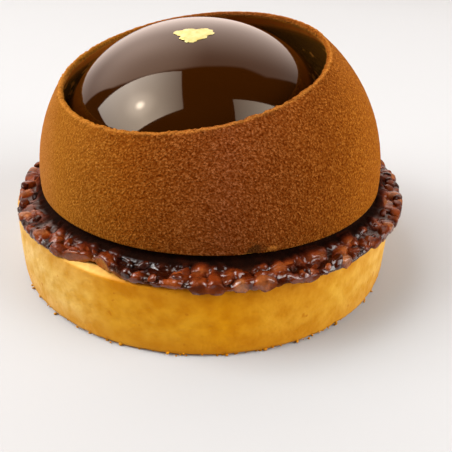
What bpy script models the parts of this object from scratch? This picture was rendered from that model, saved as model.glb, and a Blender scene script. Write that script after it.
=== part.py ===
# Chocolate tart: a shortcrust tart base filled flush with chopped-nut crunch, an open
# chocolate bowl sprayed with cocoa velvet standing on it, and a glazed dome inside the bowl.
# Metres, +Z up. The origin is on the floor under the middle of the tart, and -Y is the front.

import math
import random

import bmesh
import bpy
from mathutils import Euler, Matrix, Vector

MM = 0.001
GAP = 0.3 * MM                      # space left between pieces that touch
SLIVER = 0.3 * MM                   # corners closer than this after a cut are merged

# Tart base
BASE_CENTRE_X = -1.1 * MM           # what stands on the tart sits a little to its right
BASE_HEIGHT = 14.9 * MM
BASE_RADIUS = 40.0 * MM             # lined in an 80 mm ring
BASE_WALL = 3.2 * MM                # width of the rim's top
BASE_RECESS_DEPTH = 2.2 * MM
BASE_FOOT_ROUND = 1.2 * MM
BASE_RIM_ROUND = 0.5 * MM
BASE_BELLY = 0.2 * MM               # how far the wall swells at half height
BASE_WOBBLE = 0.18 * MM             # how far the hand-lined wall strays from a circle
BASE_STEPS = 64

# Crunch layer: a core in the recess that spreads past the rim and rises under the bowl
CORE_CENTRE_X = 0.2 * MM
CORE_SPREAD_RADIUS = 40.9 * MM
CORE_SPREAD_WAVE = 0.35 * MM
CORE_EDGE_SLOPE = 0.6 * MM               # how far the edge's top lies inside its outline
CORE_EDGE_ROUND = 0.4 * MM
CORE_SHOULDER_STEP = 0.5 * MM            # how far the shoulder lies outside the seat
CORE_BARE_STRETCHES = (                  # direction, half width and depth of each drawn-in stretch
    (math.radians(-125.0), math.radians(12.0), 2.2 * MM),
    (math.radians(-172.0), math.radians(34.0), 0.7 * MM),
)
CORE_EDGE_THICKNESS = 1.0 * MM
CORE_SHOULDER_RISE = 1.9 * MM            # the layer's top above the rim, beside the bowl
CORE_SEAT_RADIUS = 35.3 * MM
CORE_SEAT_HEIGHT = 18.4 * MM
CORE_STEPS = 64

# Chopped nuts on the core
NUT_SEED = 11
NUT_COUNT = 132
NUT_LENGTH = (2.6 * MM, 4.8 * MM)
NUT_FLATNESS = (0.55, 0.85)
NUT_WIDTH = (0.6, 0.95)
NUT_JITTER = 0.22
NUT_TILT = 0.5                           # radians, either way
NUT_ANGLE_SPREAD = 0.03
NUT_SINK = (-0.1, 0.3)                   # middle above the core's edge, in nut lengths
NUT_RING = (37.0 * MM, 41.2 * MM)
NUT_OVERHANG = 0.7 * MM                  # how far a nut sticks out past the core
NUT_TOP = 17.3 * MM                      # highest corner beside the bowl's foot, in its shade
NUT_TOP_RISE = 0.30                      # and how that limit rises outwards
NUT_SLACK = (0.08 * MM, 0.5 * MM)        # how far a nut stays inside these limits

# Velvet bowl: most of an upright ball, cut flat below and along a slant above
BOWL_CENTRE = Vector((0.1 * MM, 0.0, 19.97 * MM))
BOWL_RADIUS = 35.86 * MM
BOWL_SQUASH = 0.965
BOWL_FOOT = 18.7 * MM
BOWL_WALL = 1.1 * MM
BOWL_MOUTH_TILT = 0.205                  # radians, towards the front left
BOWL_MOUTH_DIRECTION = -2.335
BOWL_MOUTH_DISTANCE = 23.59 * MM         # from the ball's centre, along the mouth's axis
BOWL_EDGE_ROUND = 0.35 * MM
BOWL_SEGMENTS = 64
BOWL_RINGS = 26

# Glazed dome
DOME_CENTRE = Vector((-1.7 * MM, 0.0, 25.3 * MM))
DOME_RADIUS = 29.0 * MM
DOME_SQUASH = 0.85
DOME_SEGMENTS = 48
DOME_RINGS = 28

# Gold leaf lying on the dome
LEAF_CENTRE = (-3.1 * MM, -7.4 * MM)
LEAF_LENGTH = 8.2 * MM
LEAF_WIDTH = 6.0 * MM
LEAF_THICKNESS = 0.25 * MM
LEAF_LIFT = 0.3 * MM
LEAF_POINTS = 20
LEAF_TURN = math.radians(8.0)

# Colours, linear, with roughness
PASTRY_LOOK = ((0.60, 0.31, 0.075, 1.0), 0.75)
CRUNCH_LOOK = ((0.085, 0.018, 0.008, 1.0), 0.25)
VELVET_LOOK = ((0.24, 0.075, 0.014, 1.0), 0.95)
GLAZE_LOOK = ((0.035, 0.010, 0.004, 1.0), 0.05)
GOLD_LOOK = ((0.90, 0.76, 0.26, 1.0), 0.35)


def clear_scene():
    for thing in list(bpy.data.objects):
        bpy.data.objects.remove(thing, do_unlink=True)


def make_collection(name):
    collection = bpy.data.collections.new(name)
    bpy.context.scene.collection.children.link(collection)
    return collection


def make_material(name, look, metallic=0.0):
    colour, roughness = look
    material = bpy.data.materials.new(name)
    material.use_nodes = True
    shader = material.node_tree.nodes["Principled BSDF"]
    shader.inputs["Base Color"].default_value = colour
    shader.inputs["Roughness"].default_value = roughness
    shader.inputs["Metallic"].default_value = metallic
    return material


def make_object(name, mesh_source, collection, material):
    """Turn a bmesh into a smooth-shaded object in the collection."""
    mesh = bpy.data.meshes.new(name)
    mesh_source.to_mesh(mesh)
    mesh_source.free()
    mesh.shade_smooth()
    mesh.materials.append(material)
    piece = bpy.data.objects.new(name, mesh)
    collection.objects.link(piece)
    return piece


def apply_modifiers(piece):
    """Replace the object's mesh by its evaluated one, so that its points can be moved."""
    graph = bpy.context.evaluated_depsgraph_get()
    finished = bpy.data.meshes.new_from_object(piece.evaluated_get(graph))
    piece.modifiers.clear()
    piece.data = finished


def turned_piece(name, profile, steps, collection, material):
    """Turn a profile of (radius, height) points, listed from the top centre outwards and
    down to the bottom centre, about the Z axis."""
    outline = bmesh.new()
    corners = [outline.verts.new((radius, 0.0, height)) for radius, height in profile]
    for first, second in zip(corners, corners[1:]):
        outline.edges.new((first, second))
    piece = make_object(name, outline, collection, material)
    screw = piece.modifiers.new("turn", "SCREW")
    screw.steps = steps
    screw.render_steps = steps
    screw.use_merge_vertices = True
    screw.merge_threshold = 0.00001
    screw.use_normal_calculate = True
    apply_modifiers(piece)
    return piece


def quarter_round(centre_radius, centre_height, size, start, end, count):
    """Points on an arc, from one angle to the other, in degrees from the outward direction."""
    points = []
    for index in range(count + 1):
        angle = math.radians(start + (end - start) * index / count)
        points.append((centre_radius + size * math.cos(angle), centre_height + size * math.sin(angle)))
    return points


def base_radius(height):
    """Radius of the tart wall at a height: upright, with a slight belly."""
    return BASE_RADIUS + BASE_BELLY * math.sin(math.pi * height / BASE_HEIGHT)


def base_wobble(angle):
    return BASE_WOBBLE * (math.sin(3.0 * angle + 0.6) + 0.6 * math.sin(7.0 * angle + 2.1))


def recess_radius():
    return BASE_RADIUS - BASE_WALL


def make_tart_base(collection):
    """A low round of shortcrust with a shallow recess and a rim, turned and then made a
    little uneven, as a hand-lined ring is."""
    floor = BASE_HEIGHT - BASE_RECESS_DEPTH
    inner = recess_radius()
    profile = [(0.0, floor), (inner * 0.5, floor), (inner - BASE_RIM_ROUND, floor)]
    profile += [(inner, floor + BASE_RIM_ROUND), (inner, BASE_HEIGHT - BASE_RIM_ROUND)]
    profile += [(inner + BASE_RIM_ROUND, BASE_HEIGHT)]
    rim_radius = base_radius(BASE_HEIGHT) - BASE_RIM_ROUND
    profile += quarter_round(rim_radius, BASE_HEIGHT - BASE_RIM_ROUND, BASE_RIM_ROUND, 90, 10, 2)
    for share in (0.75, 0.5, 0.25):
        profile.append((base_radius(share * BASE_HEIGHT), share * BASE_HEIGHT))
    foot_radius = base_radius(BASE_FOOT_ROUND) - BASE_FOOT_ROUND
    profile += quarter_round(foot_radius, BASE_FOOT_ROUND, BASE_FOOT_ROUND, -10, -90, 3)
    profile += [(BASE_RADIUS * 0.5, 0.0), (0.0, 0.0)]
    material = make_material("shortcrust", PASTRY_LOOK)
    base = turned_piece("pastry_base", profile, BASE_STEPS, collection, material)
    for vertex in base.data.vertices:
        place = vertex.co
        radius = math.hypot(place.x, place.y)
        if radius > inner + BASE_RIM_ROUND:
            wobble = base_wobble(math.atan2(place.y, place.x)) * place.z / BASE_HEIGHT
            place.x *= 1.0 + wobble / radius
            place.y *= 1.0 + wobble / radius
        place.x += BASE_CENTRE_X
    return base


def core_outline(angle):
    """How far the crunch spreads over the rim in a direction: a wavy circle, drawn in at the
    front left and the left, where the rim shows."""
    radius = CORE_SPREAD_RADIUS
    radius += CORE_SPREAD_WAVE * (0.6 * math.sin(5.0 * angle + 1.3) + 0.4 * math.sin(11.0 * angle))
    for direction, width, depth in CORE_BARE_STRETCHES:
        away = math.atan2(math.sin(angle - direction), math.cos(angle - direction))
        radius -= depth * math.exp(-((away / width) ** 2))
    return radius


def make_crunch_core(collection, material):
    inner = recess_radius() - GAP
    bottom = BASE_HEIGHT - BASE_RECESS_DEPTH + GAP
    shelf = BASE_HEIGHT + GAP
    top = shelf + CORE_EDGE_THICKNESS
    profile = [(0.0, CORE_SEAT_HEIGHT), (CORE_SEAT_RADIUS * 0.5, CORE_SEAT_HEIGHT)]
    profile += [(CORE_SEAT_RADIUS, CORE_SEAT_HEIGHT)]
    profile += [(CORE_SEAT_RADIUS + CORE_SHOULDER_STEP, BASE_HEIGHT + CORE_SHOULDER_RISE)]
    profile += [(CORE_SPREAD_RADIUS - CORE_EDGE_SLOPE, top)]
    profile += [(CORE_SPREAD_RADIUS, shelf + CORE_EDGE_ROUND), (CORE_SPREAD_RADIUS - CORE_EDGE_ROUND, shelf)]
    profile += [(inner, shelf), (inner, bottom + BASE_RIM_ROUND), (inner - BASE_RIM_ROUND, bottom)]
    profile += [(inner * 0.5, bottom), (0.0, bottom)]
    core = turned_piece("nut_crunch", profile, CORE_STEPS, collection, material)
    for vertex in core.data.vertices:
        place = vertex.co
        radius = math.hypot(place.x, place.y)
        if radius > inner + GAP:
            moved = radius + core_outline(math.atan2(place.y, place.x)) - CORE_SPREAD_RADIUS
            place.x *= moved / radius
            place.y *= moved / radius
        lies_in_recess = radius < inner + GAP and place.z < shelf + GAP
        place.x += BASE_CENTRE_X if lies_in_recess else CORE_CENTRE_X
    return core


def keep_nut_clear(point, slack):
    """Move a corner of a nut off the rim below it, down from the bowl beside it and back
    inside the layer's outline."""
    middle = Vector((CORE_CENTRE_X, 0.0))
    across = Vector((point.x, point.y)) - middle
    reach = core_outline(math.atan2(across.y, across.x)) + NUT_OVERHANG - slack
    if across.length > reach:
        across *= reach / across.length
    point.x = middle.x + across.x
    point.y = across.y
    ceiling = NUT_TOP + NUT_TOP_RISE * max(across.length - BOWL_RADIUS, 0.0) - slack
    point.z = min(max(point.z, BASE_HEIGHT + GAP + slack), ceiling)
    return point


def make_nut(draw, angle, radius, length):
    """One chopped nut: a twenty-sided ball, flattened, roughened and turned at random."""
    nut = bmesh.new()
    bmesh.ops.create_icosphere(nut, subdivisions=1, radius=0.5)
    flat = draw.uniform(*NUT_FLATNESS)
    wide = draw.uniform(*NUT_WIDTH)
    tilts = [draw.uniform(-NUT_TILT, NUT_TILT) for _ in range(2)]
    turn = Euler(tilts + [draw.uniform(0.0, math.tau)])
    size = Matrix.Diagonal((length, length * wide, length * flat))
    height = BASE_HEIGHT + GAP + CORE_EDGE_THICKNESS + draw.uniform(*NUT_SINK) * length
    place = Vector((CORE_CENTRE_X + radius * math.cos(angle), radius * math.sin(angle), height))
    slack = draw.uniform(*NUT_SLACK)
    for vertex in nut.verts:
        rough = 1.0 + draw.uniform(-NUT_JITTER, NUT_JITTER)
        vertex.co = keep_nut_clear(place + turn.to_matrix() @ (size @ (vertex.co * rough)), slack)
    bmesh.ops.recalc_face_normals(nut, faces=nut.faces)
    return nut


def nut_places(draw):
    """Even spacing round the ring by the golden angle, with each nut moved a little, and the
    nuts near the bare stretch of rim kept inside the core's outline."""
    golden = math.pi * (3.0 - math.sqrt(5.0))
    for index in range(NUT_COUNT):
        angle = index * golden + draw.uniform(-NUT_ANGLE_SPREAD, NUT_ANGLE_SPREAD)
        radius = draw.uniform(*NUT_RING)
        length = draw.uniform(*NUT_LENGTH)
        limit = core_outline(angle) + NUT_OVERHANG - 0.3 * length
        yield angle, min(radius, limit), length


def keep_outer_body(piece):
    """Keep the largest connected surface: this fills hollows sealed between nuts and drops
    loose scraps."""
    surface = bmesh.new()
    surface.from_mesh(piece.data)
    bodies = []
    waiting = set(surface.faces)
    while waiting:
        body = {waiting.pop()}
        edge_of_search = list(body)
        while edge_of_search:
            face = edge_of_search.pop()
            for neighbour in {other for edge in face.edges for other in edge.link_faces} - body:
                body.add(neighbour)
                edge_of_search.append(neighbour)
        waiting -= body
        bodies.append(body)
    largest = max(bodies, key=len)
    spare = [face for body in bodies if body is not largest for face in body]
    bmesh.ops.delete(surface, geom=spare, context="FACES")
    surface.to_mesh(piece.data)
    surface.free()


def make_nut_crunch(collection):
    """The core and the chopped nuts that show round the bowl, as one solid."""
    material = make_material("glazed_crunch", CRUNCH_LOOK)
    core = make_crunch_core(collection, material)
    loose_nuts = make_collection("loose nuts")
    draw = random.Random(NUT_SEED)
    for index, (angle, radius, length) in enumerate(nut_places(draw)):
        nut = make_nut(draw, angle, radius, length)
        make_object("nut_%03d" % index, nut, loose_nuts, material)
    union = core.modifiers.new("nuts", "BOOLEAN")
    union.operation = "UNION"
    union.operand_type = "COLLECTION"
    union.collection = loose_nuts
    union.solver = "EXACT"
    apply_modifiers(core)
    for nut in list(loose_nuts.objects):
        bpy.data.objects.remove(nut, do_unlink=True)
    bpy.data.collections.remove(loose_nuts)
    keep_outer_body(core)
    return core


def ball(centre, radius, squash, segments, rings):
    """An upright ball, flattened by squash."""
    surface = bmesh.new()
    bmesh.ops.create_uvsphere(surface, u_segments=segments, v_segments=rings, radius=radius)
    for vertex in surface.verts:
        vertex.co = centre + Vector((vertex.co.x, vertex.co.y, vertex.co.z * squash))
    return surface


def cut_off(surface, point, direction):
    """Remove what lies beyond a plane, and merge the slivers that the cut leaves."""
    everything = surface.verts[:] + surface.edges[:] + surface.faces[:]
    bmesh.ops.bisect_plane(surface, geom=everything, plane_co=point, plane_no=direction, clear_outer=True)
    bmesh.ops.remove_doubles(surface, verts=surface.verts, dist=SLIVER)


def mouth_axis():
    """Unit vector out of the bowl's mouth."""
    lean = math.sin(BOWL_MOUTH_TILT)
    return Vector((lean * math.cos(BOWL_MOUTH_DIRECTION), lean * math.sin(BOWL_MOUTH_DIRECTION),
                   math.cos(BOWL_MOUTH_TILT)))


def make_velvet_bowl(collection):
    surface = ball(BOWL_CENTRE, BOWL_RADIUS, BOWL_SQUASH, BOWL_SEGMENTS, BOWL_RINGS)
    cut_off(surface, BOWL_CENTRE + mouth_axis() * BOWL_MOUTH_DISTANCE, mouth_axis())
    cut_off(surface, Vector((0.0, 0.0, BOWL_FOOT)), Vector((0.0, 0.0, -1.0)))
    bowl = make_object("velvet_bowl", surface, collection, make_material("cocoa_velvet", VELVET_LOOK))
    wall = bowl.modifiers.new("wall", "SOLIDIFY")
    wall.thickness = BOWL_WALL
    wall.offset = -1.0
    edge = bowl.modifiers.new("edge", "BEVEL")
    edge.width = BOWL_EDGE_ROUND
    edge.segments = 1
    edge.angle_limit = math.radians(50.0)
    return bowl


def make_glazed_dome(collection):
    surface = ball(DOME_CENTRE, DOME_RADIUS, DOME_SQUASH, DOME_SEGMENTS, DOME_RINGS)
    cut_off(surface, Vector((0.0, 0.0, CORE_SEAT_HEIGHT + GAP)), Vector((0.0, 0.0, -1.0)))
    rim = [edge for edge in surface.edges if edge.is_boundary]
    bmesh.ops.holes_fill(surface, edges=rim)
    dome = make_object("glazed_dome", surface, collection, make_material("mirror_glaze", GLAZE_LOOK))
    dome.data.set_sharp_from_angle(angle=math.radians(40.0))
    return dome


def dome_height(x, y):
    """Height of the dome's surface over a point of the floor."""
    across = math.hypot(x - DOME_CENTRE.x, y - DOME_CENTRE.y) / DOME_RADIUS
    return DOME_CENTRE.z + DOME_RADIUS * DOME_SQUASH * math.sqrt(1.0 - across * across)


def leaf_reach(angle):
    """Outline of the torn leaf, as a share of its half length or half width."""
    return 0.86 + 0.16 * math.sin(3.0 * angle + 0.5) + 0.10 * math.sin(7.0 * angle + 2.0)


def make_gold_leaf(collection):
    """A torn flake of leaf that follows the dome just above its surface."""
    flake = bmesh.new()
    bmesh.ops.create_circle(flake, cap_ends=True, segments=LEAF_POINTS, radius=1.0)
    bmesh.ops.poke(flake, faces=flake.faces)
    spokes = [edge for edge in flake.edges if not edge.is_boundary]
    bmesh.ops.subdivide_edges(flake, edges=spokes, cuts=1, use_grid_fill=False)
    for vertex in flake.verts:
        angle = math.atan2(vertex.co.y, vertex.co.x)
        along = vertex.co.x * leaf_reach(angle) * LEAF_LENGTH / 2.0
        over = vertex.co.y * leaf_reach(angle) * LEAF_WIDTH / 2.0
        x = LEAF_CENTRE[0] + along * math.cos(LEAF_TURN) - over * math.sin(LEAF_TURN)
        y = LEAF_CENTRE[1] + along * math.sin(LEAF_TURN) + over * math.cos(LEAF_TURN)
        vertex.co = Vector((x, y, dome_height(x, y) + LEAF_LIFT))
    bmesh.ops.recalc_face_normals(flake, faces=flake.faces)
    leaf = make_object("gold_leaf", flake, collection, make_material("gold_leaf", GOLD_LOOK, 1.0))
    sheet = leaf.modifiers.new("sheet", "SOLIDIFY")
    sheet.thickness = LEAF_THICKNESS
    sheet.offset = 1.0
    return leaf


def main():
    clear_scene()
    tart = make_collection("chocolate tart")
    make_tart_base(tart)
    make_nut_crunch(tart)
    make_velvet_bowl(tart)
    make_glazed_dome(tart)
    make_gold_leaf(tart)


main()
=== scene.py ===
# Chocolate tart: baked shortcrust, glazed chopped nuts, a velvet-sprayed chocolate bowl,
# a mirror-glazed dome and a torn piece of gold leaf. Metres, +Z up, seen from -Y.
import math
from itertools import product
import bpy
import numpy as np
from mathutils import Matrix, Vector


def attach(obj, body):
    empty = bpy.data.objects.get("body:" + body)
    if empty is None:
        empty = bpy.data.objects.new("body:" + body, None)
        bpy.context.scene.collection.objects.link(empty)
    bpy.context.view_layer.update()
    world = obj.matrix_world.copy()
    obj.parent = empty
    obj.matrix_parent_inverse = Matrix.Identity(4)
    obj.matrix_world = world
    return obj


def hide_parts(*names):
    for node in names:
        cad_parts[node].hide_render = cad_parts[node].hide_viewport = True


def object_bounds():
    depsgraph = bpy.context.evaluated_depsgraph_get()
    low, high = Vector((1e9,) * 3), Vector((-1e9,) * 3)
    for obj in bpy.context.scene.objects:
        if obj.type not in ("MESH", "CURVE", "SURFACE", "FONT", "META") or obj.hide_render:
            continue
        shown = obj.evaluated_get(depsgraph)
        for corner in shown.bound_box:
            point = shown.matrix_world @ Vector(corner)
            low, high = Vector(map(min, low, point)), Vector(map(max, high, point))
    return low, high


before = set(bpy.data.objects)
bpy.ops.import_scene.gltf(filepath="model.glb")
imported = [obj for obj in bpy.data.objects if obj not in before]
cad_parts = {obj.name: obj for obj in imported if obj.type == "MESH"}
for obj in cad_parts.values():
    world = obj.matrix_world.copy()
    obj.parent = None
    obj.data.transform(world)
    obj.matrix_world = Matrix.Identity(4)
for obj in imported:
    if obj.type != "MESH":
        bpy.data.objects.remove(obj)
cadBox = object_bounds()
mm = 0.001
fullTurn = 2.0 * math.pi


# Number work shared by the pieces

def hashed(ix, iy, iz, seed):
    # a whole number per lattice corner, scrambled and brought to 0..1
    mixed = (ix * 73856093) ^ (iy * 19349663) ^ (iz * 83492791) ^ (seed * 26544357)
    mixed = (mixed ^ (mixed >> 13)) * 1274126177
    mixed = (mixed ^ (mixed >> 16)) & 0xFFFFFF
    return mixed / float(0xFFFFFF)


def softNoise(points, size, seed):
    # lattice values blended smoothly between corners `size` apart; result -1..1
    scaled = points / size
    cell = np.floor(scaled).astype(np.int64)
    part = scaled - cell
    ease = part * part * (3.0 - 2.0 * part)
    total = np.zeros(points.shape[:-1])
    for dx, dy, dz in product((0, 1), repeat=3):
        weight = (np.abs(1 - dx - ease[..., 0]) * np.abs(1 - dy - ease[..., 1])
                  * np.abs(1 - dz - ease[..., 2]))
        total += weight * hashed(cell[..., 0] + dx, cell[..., 1] + dy, cell[..., 2] + dz, seed)
    return total * 2.0 - 1.0


def layeredNoise(points, size, seed, layers):
    # soft noise summed over layers, each half the size and half the height of the last
    total = 0.0
    for layer in range(layers):
        total = total + softNoise(points, size / 2 ** layer, seed + layer) * 0.5 ** layer
    return total / (2.0 - 0.5 ** (layers - 1))


def pebbles(points, size, seed):
    # one jittered seed point per cube: distance to the nearest one and its random number
    scaled = points / size
    cell = np.floor(scaled).astype(np.int64)
    nearest = np.full(points.shape[:-1], 9.0)
    draw = np.zeros(points.shape[:-1])
    for dx, dy, dz in product((-1, 0, 1), repeat=3):
        ix, iy, iz = cell[..., 0] + dx, cell[..., 1] + dy, cell[..., 2] + dz
        corner = np.stack([ix + hashed(ix, iy, iz, seed), iy + hashed(ix, iy, iz, seed + 7),
                           iz + hashed(ix, iy, iz, seed + 13)], axis=-1)
        distance = np.sqrt(((scaled - corner) ** 2).sum(axis=-1))
        closer = distance < nearest
        nearest = np.where(closer, distance, nearest)
        draw = np.where(closer, hashed(ix, iy, iz, seed + 29), draw)
    return nearest, draw


def smoothStep(low, high, value):
    share = np.clip((value - low) / (high - low), 0.0, 1.0)
    return share * share * (3.0 - 2.0 * share)


def angleFrom(angle, middle):
    # signed difference of two angles, -pi..pi
    return np.arctan2(np.sin(angle - middle), np.cos(angle - middle))


def bell(angle, middle, width):
    # 1 at the middle direction, falling off to both sides: exp(-(difference / width)^2)
    return np.exp(-(angleFrom(angle, middle) / width) ** 2)


def roundAngles(columns):
    # one row of evenly spaced angles, the full turn left out
    return np.linspace(0.0, fullTurn, columns, endpoint=False)[None, :]


# Mesh work shared by the pieces

def addObject(name, data):
    thing = bpy.data.objects.new(name, data)
    bpy.context.scene.collection.objects.link(thing)
    return thing


def meshPiece(name, verts, faces, node, material, values=None):
    # a smooth mesh object on the root body; faces is one whole-number array per face size
    mesh = bpy.data.meshes.new(name)
    verts = np.ascontiguousarray(verts, dtype=np.float32).reshape(-1, 3)
    sizes = np.concatenate([np.full(len(group), group.shape[1], dtype=np.int32) for group in faces])
    corners = np.concatenate([group.ravel() for group in faces]).astype(np.int32)
    mesh.vertices.add(len(verts))
    mesh.vertices.foreach_set("co", verts.ravel())
    mesh.loops.add(len(corners))
    mesh.loops.foreach_set("vertex_index", corners)
    mesh.polygons.add(len(sizes))
    mesh.polygons.foreach_set("loop_start", np.concatenate([[0], np.cumsum(sizes)[:-1]]).astype(np.int32))
    mesh.update(calc_edges=True)
    mesh.validate()
    mesh.shade_smooth()
    for label, numbers in (values or {}).items():
        layer = mesh.attributes.new(label, "FLOAT", "POINT")
        layer.data.foreach_set("value", np.asarray(numbers, dtype=np.float32).ravel())
    mesh.materials.append(material)
    piece = addObject(name, mesh)
    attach(piece, "root")
    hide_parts(node)
    return piece


def ringFaces(rows, columns, closeRows):
    # quads between neighbouring rows of a grid that closes round its columns, and from the
    # last row back to the first where the section is a loop; counter-clockwise from outside
    row = np.arange(rows if closeRows else rows - 1)[:, None]
    column = np.arange(columns)[None, :]
    nextRow = (row + 1) % rows
    nextColumn = (column + 1) % columns
    here = row * columns + column
    return np.stack([here, row * columns + nextColumn, nextRow * columns + nextColumn,
                     nextRow * columns + column], axis=-1).reshape(-1, 4)


def capFaces(first, columns, centre, up):
    # triangles from one row of a ring to a centre point
    column = np.arange(columns)
    nextColumn = (column + 1) % columns
    inner = np.full(columns, centre)
    if up:
        return np.stack([first + column, first + nextColumn, inner], axis=-1)
    return np.stack([first + nextColumn, first + column, inner], axis=-1)


def closedGrid(points, low, high):
    # vertices and faces of a grid that closes round its columns, its first and last rows
    # closed by triangles to a centre point each
    rows, columns = points.shape[:2]
    count = rows * columns
    caps = [capFaces(0, columns, count, False), capFaces(count - columns, columns, count + 1, True)]
    verts = np.vstack([points.reshape(-1, 3), [low], [high]])
    return verts, [ringFaces(rows, columns, False), np.vstack(caps)]


def insideBox(points):
    # the finished part is no larger than the plain solids, to 0.04 mm
    low, high = np.array(cadBox[0]) + 0.04 * mm, np.array(cadBox[1]) - 0.04 * mm
    return np.concatenate([np.clip(points[..., :2], low[:2], high[:2]), points[..., 2:]], axis=-1)


def turnedSurface(radius, height, angle, centreX):
    # points at a radius and height round the upright axis at centreX
    return np.stack([centreX + radius * np.cos(angle), radius * np.sin(angle),
                     height + 0.0 * radius], axis=-1)


def gridNormals(points):
    # unit normals of a grid whose rows run up the outside and columns run round, from the
    # cross product of its two directions
    alongRows = np.gradient(points, axis=0)
    roundColumns = np.roll(points, -1, axis=1) - np.roll(points, 1, axis=1)
    normal = np.cross(roundColumns, alongRows)
    length = np.linalg.norm(normal, axis=-1, keepdims=True)
    return normal / np.maximum(length, 1e-12)


def alongPath(corners, spacing):
    # evenly spaced points along a line of corners, one step per `spacing`
    corners = np.array(corners, dtype=float)
    runs = np.linalg.norm(np.diff(corners, axis=0), axis=1)
    reach = np.concatenate([[0.0], np.cumsum(runs)])
    count = max(int(round(reach[-1] / spacing)), 2) + 1
    places = np.linspace(0.0, reach[-1], count)
    return np.stack([np.interp(places, reach, corners[:, k]) for k in range(corners.shape[1])], axis=-1)


def cornerArc(centre, size, start, end, count):
    # (radius, height) points on an arc, angles in degrees from the outward direction
    turn = np.radians(np.linspace(start, end, count))
    return [(centre[0] + size * math.cos(t), centre[1] + size * math.sin(t)) for t in turn]


# Shader work shared by the materials

def fillSockets(tree, node, inputs):
    # another node's output is linked, anything else is set on the socket itself
    for socket, source in inputs.items():
        if hasattr(source, "is_linked"):
            tree.links.new(source, node.inputs[socket])
        else:
            node.inputs[socket].default_value = source


def newMaterial(name, finish):
    material = bpy.data.materials.new(name)
    material.use_nodes = True
    tree = material.node_tree
    shader = tree.nodes["Principled BSDF"]
    fillSockets(tree, shader, finish)
    return material, tree, shader


def addNode(tree, kind, inputs, **settings):
    node = tree.nodes.new(kind)
    for key, value in settings.items():
        setattr(node, key, value)
    fillSockets(tree, node, inputs)
    return node


def mapRange(tree, value, low, high, first=0.0, last=1.0, easing="LINEAR"):
    # the value's stretch from low to high brought to first..last, and held there beyond it
    stretch = {"Value": value, "From Min": low, "From Max": high, "To Min": first, "To Max": last}
    return addNode(tree, "ShaderNodeMapRange", stretch, interpolation_type=easing).outputs["Result"]


def combine(tree, operation, first, second):
    return addNode(tree, "ShaderNodeMath", {0: first, 1: second}, operation=operation).outputs[0]


def combineVectors(tree, operation, first, second=(0.0, 0.0, 0.0)):
    # the outputs are Vector, or Value for a product or a length
    return addNode(tree, "ShaderNodeVectorMath", {0: first, 1: second}, operation=operation).outputs


def partsOf(tree, vector):
    return addNode(tree, "ShaderNodeSeparateXYZ", {"Vector": vector}).outputs


def colourRamp(tree, factor, stops):
    node = addNode(tree, "ShaderNodeValToRGB", {"Fac": factor})
    while len(node.color_ramp.elements) < len(stops):
        node.color_ramp.elements.new(0.5)
    for element, (place, colour) in zip(node.color_ramp.elements, stops):
        element.position = place
        element.color = (*colour, 1.0)
    return node.outputs["Color"]


def mixColours(tree, factor, first, second, blend="MIX"):
    # a plain colour is three numbers, to which the socket adds a fourth
    first, second = ((*source, 1.0) if isinstance(source, tuple) else source for source in (first, second))
    node = addNode(tree, "ShaderNodeMix", {}, data_type="RGBA", blend_type=blend)
    fillSockets(tree, node, {0: factor, 6: first, 7: second})
    return node.outputs[2]


def tinted(tree, base, mask, tone):
    # the base times a tone that fades to white where the mask is 1
    shade = colourRamp(tree, mask, [(0.0, tone), (1.0, (1.0, 1.0, 1.0))])
    return mixColours(tree, 1.0, base, shade, "MULTIPLY")


def newGroup(name, numbers, output):
    # a shared effect: takes a vector and some numbers, gives one number
    group = bpy.data.node_groups.new(name, "ShaderNodeTree")
    group.interface.new_socket("Vector", in_out="INPUT", socket_type="NodeSocketVector")
    for label in numbers:
        group.interface.new_socket(label, in_out="INPUT", socket_type="NodeSocketFloat")
    group.interface.new_socket(output, in_out="OUTPUT", socket_type="NodeSocketFloat")
    return group, group.nodes.new("NodeGroupInput").outputs, group.nodes.new("NodeGroupOutput").inputs


def makePatchesGroup():
    # cloudy patches: noise at a scale, stretched between two limits to a 0..1 mask
    group, given, result = newGroup("patches", ("Scale", "Detail", "Low", "High"), "Mask")
    where = {name: given[name] for name in ("Vector", "Scale", "Detail")}
    noise = addNode(group, "ShaderNodeTexNoise", where)
    group.links.new(mapRange(group, noise.outputs["Fac"], given["Low"], given["High"]), result["Mask"])
    return group


def makeGrainGroup():
    # fine grains: 1 in the middle of a cell and 0 in the gaps, broken up by finer noise
    group, given, result = newGroup("grain", ("Scale",), "Height")
    where = {name: given[name] for name in ("Vector", "Scale")}
    cells = addNode(group, "ShaderNodeTexVoronoi", where, feature="F1")
    noise = addNode(group, "ShaderNodeTexNoise", {**where, "Detail": 1.0})
    grains = mapRange(group, cells.outputs["Distance"], 0.08, 0.72, 1.0, 0.0)
    breakup = combine(group, "MULTIPLY", combine(group, "SUBTRACT", noise.outputs["Fac"], 0.5), 0.8)
    group.links.new(combine(group, "ADD", grains, breakup), result["Height"])
    return group


patchesGroup = makePatchesGroup()
grainGroup = makeGrainGroup()


def patches(tree, place, scale, detail, low, high):
    values = {"Vector": place, "Scale": scale, "Detail": detail, "Low": low, "High": high}
    return addNode(tree, "ShaderNodeGroup", values, node_tree=patchesGroup).outputs["Mask"]


def grain(tree, place, scale):
    values = {"Vector": place, "Scale": scale}
    return addNode(tree, "ShaderNodeGroup", values, node_tree=grainGroup).outputs["Height"]


def bumpFrom(tree, height, strength, distance, below=None):
    links = {"Height": height, "Strength": strength, "Distance": distance}
    if below is not None:
        links["Normal"] = below
    return addNode(tree, "ShaderNodeBump", links).outputs["Normal"]


def readShade(tree, name):
    return addNode(tree, "ShaderNodeAttribute", {}, attribute_name=name).outputs["Fac"]


def objectPlace(tree):
    return addNode(tree, "ShaderNodeTexCoord", {}).outputs["Object"]


# Stage: camera, floor and light

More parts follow.
